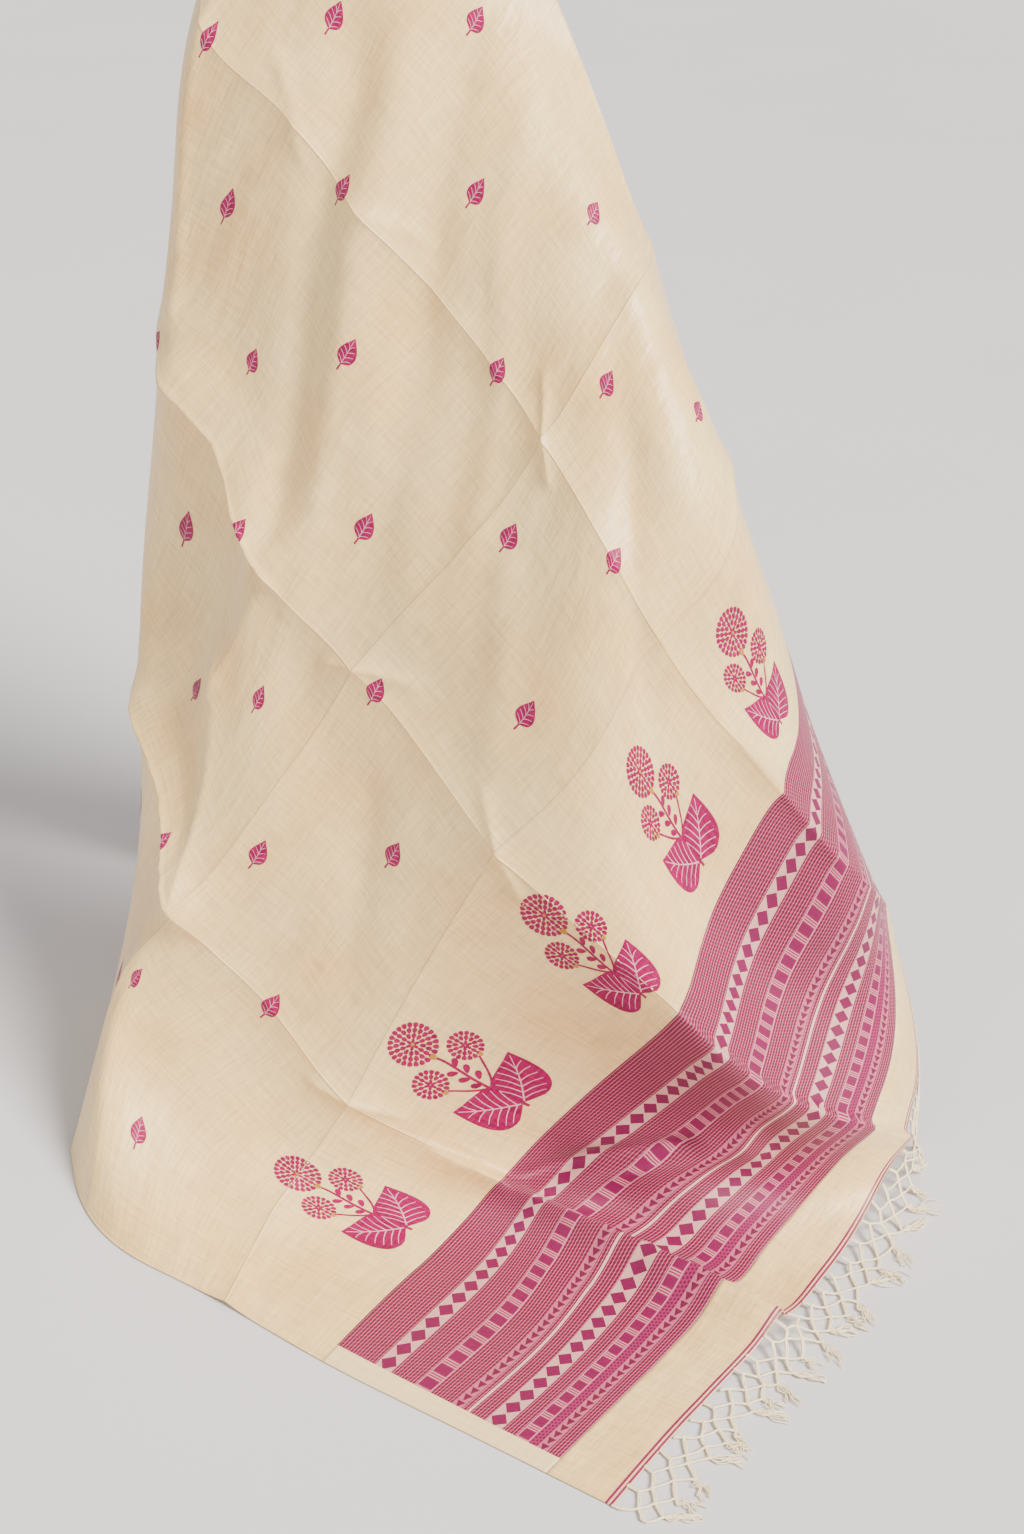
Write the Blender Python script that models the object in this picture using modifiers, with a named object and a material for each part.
"""A tussar saree hung over a plain rod, with its patterned end spread out in front on the floor.

Metres, +Z up. The origin is the middle of the rod's axis. The front is towards -Y.
Heights in the tables are above the floor, which lies FLOOR_DROP below the origin.
Cloth places are given as (across, along): across is measured from the front selvedge,
along is measured from the fringed end.
"""

import functools
import math

import bpy
import numpy as np

# Driving sizes of the cloth.
CLOTH_WIDTH = 1.16
PANEL = CLOTH_WIDTH / 4
WALL = 0.0014
SEAM_GAP = 0.0003
END_BAND = 0.075
PALLU_BAND = 0.270
BAND_START = END_BAND + PALLU_BAND
UPPER_FIELD_SHARE = 0.56

# The rod and the floor.
ROD_DIAMETER = 0.025
ROD_LENGTH = 0.60
ROD_CENTRE = (0.0, 0.02)
FLOOR_DROP = 1.36
RIM_HEIGHT = 1.20

# The fringe.
FRINGE_COLUMNS = 46
FRINGE_STRIP = 0.004
FRINGE_THICKNESS = 0.0014
NET_TOP_ROW = 0.013
NET_ROW = 0.011
CORD_WIDTH = 0.0026
TASSEL_LENGTH = 0.036
TASSEL_GROUP = 3
TASSEL_GATHER = 0.55
FRINGE_CLEARANCE = 0.0006
FRINGE_ROOT_GAP = 0.0007
FRINGE_FLAT_SLOPE = 0.25
FRINGE_HANGING_SLOPE = 0.98
FRINGE_DROP_RATE = 12.0
TASSEL_UNEVENNESS = 0.25

# The stretches above and behind.
OVER_LEFT = -0.160
OVER_RIGHT = 0.140
OVER_ACROSS_LEFT = 0.90
BACK_WALL = 0.0030
BACK_HEM_HEIGHT = 0.012
BACK_HALF_WIDTH_TOP = 0.150
BACK_HALF_WIDTH_HEM = 0.235
BACK_FOLDS = 6
BACK_FOLD_DEPTH = 0.020

# Lengthwise lines of the cloth, from the front selvedge to the back one. Each rail has its place
# across as a share of the width, and rows of (along, x, y, height).
RAILS = (
    (0.000, ((0.000, 0.212, -0.856, 0.000),
             (0.175, 0.077, -0.770, 0.000),
             (0.335, -0.047, -0.692, 0.000),
             (0.505, -0.182, -0.593, 0.000),
             (0.640, -0.285, -0.522, 0.000),
             (0.710, -0.325, -0.462, 0.000),
             (0.800, -0.343, -0.365, 0.000),
             (0.920, -0.335, -0.240, 0.000),
             (1.040, -0.275, -0.130, 0.000))),
    (0.125, ((0.000, 0.297, -0.740, 0.000),
             (0.075, 0.243, -0.710, 0.000),
             (0.345, 0.037, -0.554, 0.000),
             (0.500, -0.124, -0.460, 0.012),
             (0.630, -0.246, -0.386, 0.085),
             (0.690, -0.285, -0.368, 0.125),
             (0.750, -0.290, -0.345, 0.162),
             (0.860, -0.275, -0.270, 0.205),
             (0.950, -0.283, -0.190, 0.235),
             (1.100, -0.266, -0.060, 0.290))),
    (0.250, ((0.000, 0.383, -0.646, 0.012),
             (0.075, 0.333, -0.606, 0.012),
             (0.260, 0.173, -0.491, 0.012),
             (0.345, 0.117, -0.465, 0.031),
             (0.500, -0.042, -0.426, 0.100),
             (0.640, -0.123, -0.375, 0.190),
             (0.775, -0.212, -0.332, 0.270),
             (0.864, -0.214, -0.292, 0.320),
             (0.930, -0.223, -0.247, 0.366),
             (1.000, -0.256, -0.190, 0.405),
             (1.060, -0.270, -0.145, 0.442),
             (1.180, -0.262, -0.040, 0.535))),
    (0.375, ((0.000, 0.468, -0.526, 0.005),
             (0.075, 0.416, -0.494, 0.020),
             (0.345, 0.218, -0.460, 0.159),
             (0.500, 0.060, -0.428, 0.247),
             (0.690, -0.058, -0.363, 0.364),
             (0.806, -0.131, -0.318, 0.423),
             (0.920, -0.156, -0.266, 0.480),
             (1.040, -0.190, -0.175, 0.528),
             (1.150, -0.262, -0.080, 0.560),
             (1.280, -0.248, 0.010, 0.660))),
    (0.500, ((0.000, 0.528, -0.420, 0.058),
             (0.075, 0.482, -0.468, 0.108),
             (0.200, 0.385, -0.495, 0.168),
             (0.289, 0.321, -0.513, 0.237),
             (0.345, 0.283, -0.515, 0.283),
             (0.560, 0.113, -0.434, 0.410),
             (0.747, -0.003, -0.331, 0.526),
             (0.860, -0.073, -0.285, 0.576),
             (0.950, -0.120, -0.243, 0.617),
             (1.080, -0.150, -0.155, 0.710),
             (1.170, -0.220, -0.095, 0.755),
             (1.360, -0.200, 0.030, 0.900))),
    (0.625, ((0.000, 0.556, -0.352, 0.095),
             (0.075, 0.522, -0.385, 0.156),
             (0.154, 0.460, -0.396, 0.205),
             (0.240, 0.387, -0.419, 0.245),
             (0.289, 0.352, -0.421, 0.281),
             (0.345, 0.313, -0.429, 0.328),
             (0.500, 0.227, -0.448, 0.485),
             (0.630, 0.168, -0.425, 0.592),
             (0.806, 0.058, -0.310, 0.680),
             (0.920, -0.022, -0.242, 0.743),
             (1.040, -0.080, -0.175, 0.798),
             (1.157, -0.138, -0.110, 0.853),
             (1.300, -0.214, -0.036, 0.890),
             (1.460, -0.176, 0.045, 1.060))),
    (0.750, ((0.000, 0.524, -0.255, 0.215),
             (0.075, 0.504, -0.310, 0.265),
             (0.199, 0.470, -0.395, 0.345),
             (0.240, 0.444, -0.398, 0.380),
             (0.289, 0.409, -0.388, 0.417),
             (0.345, 0.376, -0.396, 0.463),
             (0.420, 0.323, -0.400, 0.524),
             (0.500, 0.271, -0.403, 0.588),
             (0.630, 0.208, -0.405, 0.702),
             (0.747, 0.163, -0.330, 0.767),
             (0.864, 0.115, -0.262, 0.823),
             (0.980, 0.036, -0.195, 0.895),
             (1.098, -0.041, -0.135, 0.958),
             (1.200, -0.090, -0.087, 1.018),
             (1.320, -0.168, -0.030, 1.067),
             (1.520, -0.150, 0.050, 1.185))),
    (0.875, ((0.000, 0.482, -0.140, 0.262),
             (0.075, 0.468, -0.190, 0.310),
             (0.200, 0.450, -0.268, 0.392),
             (0.345, 0.406, -0.322, 0.502),
             (0.400, 0.388, -0.345, 0.560),
             (0.500, 0.350, -0.368, 0.668),
             (0.600, 0.297, -0.370, 0.764),
             (0.690, 0.252, -0.338, 0.827),
             (0.806, 0.205, -0.275, 0.895),
             (0.922, 0.152, -0.205, 0.961),
             (1.040, 0.098, -0.140, 1.030),
             (1.157, 0.024, -0.085, 1.100),
             (1.320, -0.095, -0.035, 1.200))),
    (0.917, ((0.000, 0.476, -0.100, 0.275),
             (0.150, 0.449, -0.200, 0.376),
             (0.250, 0.417, -0.256, 0.472),
             (0.345, 0.391, -0.290, 0.558),
             (0.420, 0.366, -0.316, 0.630),
             (0.500, 0.336, -0.331, 0.710),
             (0.630, 0.298, -0.325, 0.810),
             (0.747, 0.252, -0.285, 0.888),
             (0.864, 0.203, -0.225, 0.959),
             (0.980, 0.154, -0.155, 1.029),
             (1.098, 0.099, -0.098, 1.099),
             (1.250, -0.008, -0.035, 1.200))),
    (1.000, ((0.000, 0.445, -0.040, 0.335),
             (0.200, 0.410, -0.155, 0.475),
             (0.345, 0.366, -0.215, 0.605),
             (0.500, 0.322, -0.245, 0.722),
             (0.630, 0.297, -0.235, 0.790),
             (0.800, 0.245, -0.165, 0.925),
             (0.970, 0.193, -0.085, 1.050),
             (1.130, 0.124, -0.035, 1.200))),
)

# Folds pressed or fallen into the cloth: a line from one cloth place to another, how far the cloth
# stands out along it (negative is a trough), its half width, and its shape. A ridge is soft and a
# crease sharp, a roll stands out only on the side of the back selvedge and drops off steeply to the
# front one, and a lap is a roll the other way round.
# Columns: name, across_0, along_0, across_1, along_1, height, half_width, shape.
FOLDS = (
    ("crease_low", 0.290, -0.30, 0.290, 1.20, 0.005, 0.026, "crease"),
    ("crease_mid", 0.580, -0.30, 0.580, 1.45, 0.005, 0.026, "crease"),
    ("crease_high", 0.870, -0.20, 0.870, 1.60, 0.005, 0.024, "crease"),
    ("low_end_lap", 0.290, -0.06, 0.290, 0.45, 0.017, 0.042, "lap"),
    ("low_end_trough", 0.335, -0.04, 0.340, 0.38, -0.012, 0.036, "ridge"),
    ("mid_end_lap", 0.582, -0.06, 0.582, 0.37, 0.010, 0.045, "lap"),
    ("band_wedge", 0.275, 0.345, 0.440, 0.212, -0.013, 0.013, "ridge"),
    ("band_brow", 0.300, 0.285, 0.500, 0.160, 0.010, 0.026, "ridge"),
    ("high_end_pucker", 0.862, 0.22, 0.870, 0.44, 0.008, 0.014, "crease"),
    ("mid_roll", 0.576, 0.84, 0.576, 1.21, 0.017, 0.055, "roll"),
    ("low_roll", 0.286, 0.72, 0.286, 1.08, 0.014, 0.036, "roll"),
    ("weft_3", 0.800, 1.060, 1.030, 1.040, 0.004, 0.014, "crease"),
    ("weft_4", 0.600, 1.200, 0.980, 1.170, 0.004, 0.014, "crease"),
    ("soft_1", 0.620, 0.70, 0.860, 1.10, 0.008, 0.045, "ridge"),
    ("soft_2", 0.420, 0.60, 0.560, 0.88, -0.008, 0.045, "ridge"),
    ("soft_3", 0.900, 0.60, 1.060, 0.86, -0.007, 0.040, "ridge"),
    ("soft_4", 0.080, 0.40, 0.230, 0.70, 0.006, 0.040, "ridge"),
)

# Creases pressed across the whole cloth. Columns: name, how far along it lies at each of the five
# edges of the panels, height, half width.
CROSS_CREASES = (
    ("cross_low", (0.470, 0.500, 0.560, 0.545, 0.540), 0.006, 0.028),
)

# How wide the steep side of a roll or lap is, as a wall.
LIP = 0.010

# The share of a fold's length over which it rises from nothing at each end.
FOLD_FADE = 0.18

# The drape is evened out a little over a grid of this many lines each way.
RELAX_PASSES = 4
MASTER_ACROSS = 33
MASTER_ALONG = 49

# Where the cloth grid has its lines inside each panel, closer at the creases.
PANEL_STEPS = (0.0, 0.034, 0.10, 0.22, 0.36, 0.50, 0.64, 0.78, 0.90, 0.966)
ALONG_STEP = 0.026


def smooth_through(stations, points, at):
    """A smooth curve through points at rising stations, read at the places in at."""
    stations = np.asarray(stations, float)
    points = np.asarray(points, float)
    slopes = np.gradient(points, stations, axis=0)
    at = np.clip(np.asarray(at, float), stations[0], stations[-1])
    cell = np.clip(np.searchsorted(stations, at, side="right") - 1, 0, len(stations) - 2)
    span = (stations[cell + 1] - stations[cell])[..., None]
    f = (at - stations[cell])[..., None] / span
    start = (1 + 2 * f) * (1 - f) ** 2 * points[cell] + f * (1 - f) ** 2 * span * slopes[cell]
    end = f * f * (3 - 2 * f) * points[cell + 1] - f * f * (1 - f) * span * slopes[cell + 1]
    return start + end


def rail_lengths():
    return np.array([rows[-1][0] for _, rows in RAILS])


def top_along(across):
    """How far from the end the worked stretch of cloth reaches, at a place across it."""
    shares = [share for share, _ in RAILS]
    return smooth_through(shares, rail_lengths()[:, None], np.asarray(across) / CLOTH_WIDTH)[..., 0]


def master_drape():
    """The drape without its folds: a grid of points over shares across and along the cloth."""
    along_shares = np.linspace(0, 1, MASTER_ALONG)
    columns = []
    for _, rows in RAILS:
        table = np.array(rows)
        columns.append(smooth_through(table[:, 0] / table[-1, 0], table[:, 1:], along_shares))
    columns = np.array(columns)
    shares = np.array([share for share, _ in RAILS])
    grid = smooth_through(shares, columns.reshape(len(shares), -1), np.linspace(0, 1, MASTER_ACROSS))
    grid = grid.reshape(MASTER_ACROSS, MASTER_ALONG, 3)
    for _ in range(RELAX_PASSES):
        inner = (grid[:-2, 1:-1] + grid[2:, 1:-1] + grid[1:-1, :-2] + grid[1:-1, 2:]) / 4
        grid[1:-1, 1:-1] = (grid[1:-1, 1:-1] + inner) / 2
        for edge in (grid[0], grid[-1], grid[:, 0], grid[:, -1]):
            edge[1:-1] = (edge[1:-1] * 2 + edge[:-2] + edge[2:]) / 4
    return grid


MASTER = master_drape()


@functools.lru_cache(maxsize=None)
def drape_line(across):
    """The drape's line along the cloth at one place across it, and how far along it reaches."""
    line = smooth_through(np.linspace(0, 1, MASTER_ACROSS),
                          MASTER.reshape(MASTER_ACROSS, -1), np.array([across / CLOTH_WIDTH]))[0]
    return line.reshape(MASTER_ALONG, 3), float(top_along(np.array([across]))[0])


def base_point(across, along):
    """The drape without folds at one place across the cloth, for many places along it."""
    line, reach = drape_line(across)
    return smooth_through(np.linspace(0, 1, MASTER_ALONG), line, np.asarray(along) / reach)


def fold_relief(across, along):
    """How far the folds push the cloth out at a cloth place."""
    relief = np.zeros(np.broadcast(across, along).shape)
    for _, a0, l0, a1, l1, height, half_width, shape in FOLDS:
        run = np.array([a1 - a0, l1 - l0])
        length = np.hypot(*run)
        run = run / length
        place = ((across - a0) * run[0] + (along - l0) * run[1]) / length
        aside = (across - a0) * run[1] - (along - l0) * run[0]
        fade = np.clip(np.minimum(place, 1 - place) / FOLD_FADE, 0, 1)
        fade = fade * fade * (3 - 2 * fade)
        if shape == "ridge":
            profile = np.exp(-(aside / half_width) ** 2)
        elif shape == "crease":
            profile = np.exp(-np.abs(aside) / half_width)
        else:
            raised = aside if shape == "roll" else -aside
            lip = 0.5 + 0.5 * np.tanh(raised / LIP)
            profile = lip * np.exp(-(np.maximum(raised, 0) / half_width) ** 2)
        relief = relief + height * fade * profile
    for _, places, height, half_width in CROSS_CREASES:
        aside = along - np.interp(across, PANEL * np.arange(5), places)
        relief = relief + height * np.exp(-np.abs(aside) / half_width)
    return relief


def cloth_line(across, along):
    """Points of the cloth's outer face at one place across it, in the part's own frame."""
    step = 0.004
    along = np.asarray(along, float)
    points = base_point(across, along)
    reach = drape_line(across)[1]
    ahead = base_point(across, np.minimum(along + step, reach))
    behind = base_point(across, np.maximum(along - step, 0))
    low = max(across - step, 0)
    high = min(across + step, CLOTH_WIDTH)
    normal = np.cross(base_point(high, along) - base_point(low, along), ahead - behind)
    normal /= np.linalg.norm(normal, axis=1)[:, None]
    points = points + normal * fold_relief(across, along)[:, None]
    points[:, 2] = np.maximum(points[:, 2], WALL) - FLOOR_DROP
    return points


def across_stations():
    """Places across the cloth for the grid lines, closer together at the three creases."""
    places = [PANEL * (panel + step) for panel in range(4) for step in PANEL_STEPS]
    return places + [CLOTH_WIDTH]


def new_material(name, colour, roughness):
    material = bpy.data.materials.new(name)
    material.use_nodes = True
    shader = material.node_tree.nodes["Principled BSDF"]
    shader.inputs["Base Color"].default_value = (*colour, 1)
    shader.inputs["Roughness"].default_value = roughness
    shader.inputs["Metallic"].default_value = 0.0
    return material


def add_object(name, mesh, material, collection):
    obj = bpy.data.objects.new(name, mesh)
    mesh.materials.append(material)
    collection.objects.link(obj)
    return obj


def grid_faces(rows, columns):
    faces = []
    for i in range(rows - 1):
        for j in range(columns - 1):
            corner = i * columns + j
            faces.append((corner, corner + columns, corner + columns + 1, corner + 1))
    return faces


def add_wall(name, grid, thickness, material, collection):
    """A sheet through a grid of points on its outer face, given its thickness by Solidify."""
    rows, columns = grid.shape[:2]
    mesh = bpy.data.meshes.new(name)
    mesh.from_pydata(grid.reshape(-1, 3).tolist(), [], grid_faces(rows, columns))
    mesh.shade_smooth()
    obj = add_object(name, mesh, material, collection)
    shell = obj.modifiers.new("Thickness", "SOLIDIFY")
    shell.thickness = thickness
    shell.offset = -1.0
    return obj


def cloth_stretch(name, start, end, material, collection):
    """The cloth between two lines across it, each a function of the place across."""
    stations = across_stations()
    steps = max(2, round(max(end(a) - start(a) for a in stations) / ALONG_STEP))
    share = np.linspace(0, 1, steps + 1)
    lines = [cloth_line(a, start(a) + (end(a) - start(a)) * share) for a in stations]
    return add_wall(name, np.array(lines), WALL, material, collection)


def build_cloth(silk, pallu, collection):
    """The four stretches of the front cloth, each parted from the next by the seam gap."""
    gap = SEAM_GAP / 2 + 0.0001

    def upper_start(across):
        return UPPER_FIELD_SHARE * float(top_along(np.array([across]))[0])

    def upper_end(across):
        return float(top_along(np.array([across]))[0])

    cloth_stretch("end_band", lambda a: 0.0, lambda a: END_BAND - gap, silk, collection)
    cloth_stretch("pallu_band", lambda a: END_BAND + gap, lambda a: BAND_START - gap, pallu, collection)
    cloth_stretch("field_lower", lambda a: BAND_START + gap, lambda a: upper_start(a) - gap,
                  silk, collection)
    cloth_stretch("field_upper", lambda a: upper_start(a) + gap, upper_end, silk, collection)


@functools.lru_cache(maxsize=None)
def cloth_end():
    """The cloth's end edge as its solid has it: stations across, points, and the way out of each."""
    stations = np.array(across_stations())
    ends = np.array([cloth_line(a, np.array([0.0, 0.008])) for a in across_stations()])
    ways = ends[:, 0] - ends[:, 1]
    return stations, ends[:, 0], ways / np.linalg.norm(ways, axis=1)[:, None]


@functools.lru_cache(maxsize=None)
def fringe_path(across):
    """Where the fringe leaves the cloth's end, the way out there, and the way over the floor."""
    stations, ends, ways = cloth_end()
    root = np.array([np.interp(across, stations, ends[:, k]) for k in range(3)])
    way = np.array([np.interp(across, stations, ways[:, k]) for k in range(3)])
    near = np.exp(-((stations - across) / 0.06) ** 2)
    outward = (near[:, None] * ways[:, :2]).sum(axis=0)
    return root, way / np.linalg.norm(way), outward / np.linalg.norm(outward)


def fringe_point(across, out):
    """A point of the fringe's upper face, out metres from its root. The strip goes straight on from
    the cloth, and the net and tassels then drop to the floor and lie on it."""
    root, way, outward = fringe_path(across)
    start = root + way * (FRINGE_ROOT_GAP + min(out, FRINGE_STRIP))
    lowest = FRINGE_CLEARANCE + FRINGE_THICKNESS - FLOOR_DROP
    start[2] = max(start[2], lowest)
    rest = max(out - FRINGE_STRIP, 0.0)
    height = start[2] - lowest
    steep = min(FRINGE_HANGING_SLOPE, FRINGE_FLAT_SLOPE + height * FRINGE_DROP_RATE)
    drop = min(height, rest * steep)
    travelled = drop / steep
    level = travelled * math.sqrt(1 - steep * steep) + (rest - travelled)
    return (start[0] + outward[0] * level, start[1] + outward[1] * level, start[2] - drop)


def build_fringe(material, collection):
    """A narrow strip, a knotted net of three rows of cells, and a tassel lock under each knot."""
    pitch = CLOTH_WIDTH / FRINGE_COLUMNS
    verts = {}
    points = []
    faces = []

    def vert(across, out):
        key = (round(across, 6), round(out, 6))
        if key not in verts:
            verts[key] = len(points)
            points.append(fringe_point(min(max(across, 0.0), CLOTH_WIDTH), out))
        return verts[key]

    def cell(corners):
        """A cell's cords: the ring between its outline and a smaller copy of it."""
        centre = np.mean(corners, axis=0)
        inner = [centre + (np.array(c) - centre) * cell_open for c in corners]
        for k in range(len(corners)):
            n = (k + 1) % len(corners)
            faces.append((vert(*corners[k]), vert(*corners[n]), vert(*inner[n]), vert(*inner[k])))

    cell_open = 1 - CORD_WIDTH / (NET_ROW * 1.5)
    row_1 = FRINGE_STRIP + NET_TOP_ROW * 0.45
    row_2 = FRINGE_STRIP + NET_TOP_ROW
    row_3 = row_2 + NET_ROW
    row_4 = row_3 + NET_ROW
    half = pitch / 2
    knot = CORD_WIDTH * 0.5
    for i in range(FRINGE_COLUMNS):
        left = i * pitch
        mid = left + half
        right = left + pitch
        between = [a for a in across_stations() if left + 1e-6 < a < right - 1e-6]
        roots = [vert(a, 0.0) for a in [right] + between[::-1]]
        faces.append((vert(left, 0.0), vert(left, FRINGE_STRIP), vert(right, FRINGE_STRIP), *roots))
        cell([(left, FRINGE_STRIP), (left, row_1), (mid, row_2), (right, row_1), (right, FRINGE_STRIP)])
        if i:
            cell([(left, row_1), (left - half, row_2), (left, row_3), (mid, row_2)])
        last = ((mid - knot, row_4), (mid + knot, row_4))
        cell([(mid, row_2), (left, row_3), *last, (right, row_3)])
        group = i // TASSEL_GROUP * TASSEL_GROUP + (TASSEL_GROUP - 1) / 2
        gather = (min(group, FRINGE_COLUMNS - 1) - i) * pitch * TASSEL_GATHER
        for step in (0.5, 1.0):
            out = row_4 + TASSEL_LENGTH * step * (1.0 + TASSEL_UNEVENNESS * math.sin(2.4 * i))
            thin = knot * (1 - 0.45 * step)
            tip = ((mid + gather * step - thin, out), (mid + gather * step + thin, out))
            faces.append((vert(*last[0]), vert(*tip[0]), vert(*tip[1]), vert(*last[1])))
            last = tip
    mesh = bpy.data.meshes.new("fringe")
    mesh.from_pydata(points, [], faces)
    obj = add_object("fringe", mesh, material, collection)
    shell = obj.modifiers.new("Thickness", "SOLIDIFY")
    shell.thickness = FRINGE_THICKNESS
    shell.offset = -1.0
    return obj


def over_rod_line(share):
    """One line over the rod, from the front rim to the back rim, at a share across the stretch."""
    across = OVER_ACROSS_LEFT + (CLOTH_WIDTH - OVER_ACROSS_LEFT) * share
    rim = cloth_line(across, np.array([drape_line(across)[1]]))[0] + (0, 0, SEAM_GAP * 2)
    x = OVER_LEFT + (OVER_RIGHT - OVER_LEFT) * share
    radius = ROD_DIAMETER / 2 + SEAM_GAP + WALL
    points = []
    for step in range(6):
        f = step / 6
        ease = f * f * (3 - 2 * f)
        front = ROD_CENTRE[1] - radius
        points.append((rim[0] + (x - rim[0]) * ease, rim[1] + (front - rim[1]) * ease, rim[2] * (1 - f)))
    for step in range(9):
        turn = math.pi * step / 8
        points.append((x, ROD_CENTRE[1] - radius * math.cos(turn), radius * math.sin(turn)))
    low = RIM_HEIGHT + SEAM_GAP - FLOOR_DROP
    for step in range(1, 7):
        f = step / 6
        ease = f * f * (3 - 2 * f)
        y = ROD_CENTRE[1] + radius + (back_depth(share, low) - ROD_CENTRE[1] - radius) * ease
        points.append((x, y, low * f))
    return points


def back_depth(share, height):
    """How far back the back stretch hangs: soft folds that open out towards the hem."""
    fall = max(RIM_HEIGHT - FLOOR_DROP - height, 0.0) / RIM_HEIGHT
    depth = 0.004 + BACK_FOLD_DEPTH * fall ** 0.7
    wave = math.cos(2 * math.pi * BACK_FOLDS * (share + 0.03 * math.sin(7 * share)))
    return ROD_CENTRE[1] + 0.034 + 0.10 * fall - 0.04 * fall * (2 * share - 1) ** 2 + depth * wave * 0.5


def build_over_rod(material, collection):
    shares = np.linspace(0, 1, 13)
    grid = np.array([over_rod_line(float(s)) for s in shares])
    return add_wall("over_rod", grid, WALL, material, collection)


def build_back_fall(material, collection):
    """The rest of the length, folded behind the rod and shown as one thicker wall in soft folds."""
    rim = RIM_HEIGHT - SEAM_GAP - FLOOR_DROP
    hem = BACK_HEM_HEIGHT - FLOOR_DROP
    lines = []
    for share in np.linspace(0, 1, BACK_FOLDS * 6 + 1):
        line = []
        for f in np.linspace(0, 1, 9):
            height = rim + (hem - rim) * f
            half = BACK_HALF_WIDTH_TOP + (BACK_HALF_WIDTH_HEM - BACK_HALF_WIDTH_TOP) * f
            centre = (OVER_LEFT + OVER_RIGHT) / 2 * (1 - f)
            line.append((centre + half * (2 * share - 1), back_depth(float(share), height), height))
        lines.append(line)
    return add_wall("back_fall", np.array(lines), BACK_WALL, material, collection)


def build_rod(material, collection):
    bpy.ops.mesh.primitive_cylinder_add(vertices=32, radius=ROD_DIAMETER / 2, depth=ROD_LENGTH,
                                        location=(ROD_CENTRE[0], ROD_CENTRE[1], 0.0),
                                        rotation=(0.0, math.pi / 2, 0.0))
    rod = bpy.context.object
    rod.name = "rod"
    for owner in list(rod.users_collection):
        owner.objects.unlink(rod)
    collection.objects.link(rod)
    rod.data.materials.append(material)
    edges = rod.modifiers.new("Rounded ends", "BEVEL")
    edges.width = 0.002
    edges.segments = 2
    edges.limit_method = "ANGLE"
    return rod


def main():
    for obj in list(bpy.data.objects):
        bpy.data.objects.remove(obj)
    collection = bpy.data.collections.new("saree_on_rod")
    bpy.context.scene.collection.children.link(collection)
    silk = new_material("cream_tussar_silk", (0.78, 0.68, 0.50), 0.55)
    pallu = new_material("woven_pallu_band", (0.62, 0.22, 0.34), 0.6)
    yarn = new_material("cream_yarn", (0.84, 0.76, 0.62), 0.7)
    wood = new_material("turned_wood", (0.45, 0.30, 0.17), 0.5)
    build_cloth(silk, pallu, collection)
    build_fringe(yarn, collection)
    build_over_rod(silk, collection)
    build_back_fall(silk, collection)
    build_rod(wood, collection)


main()
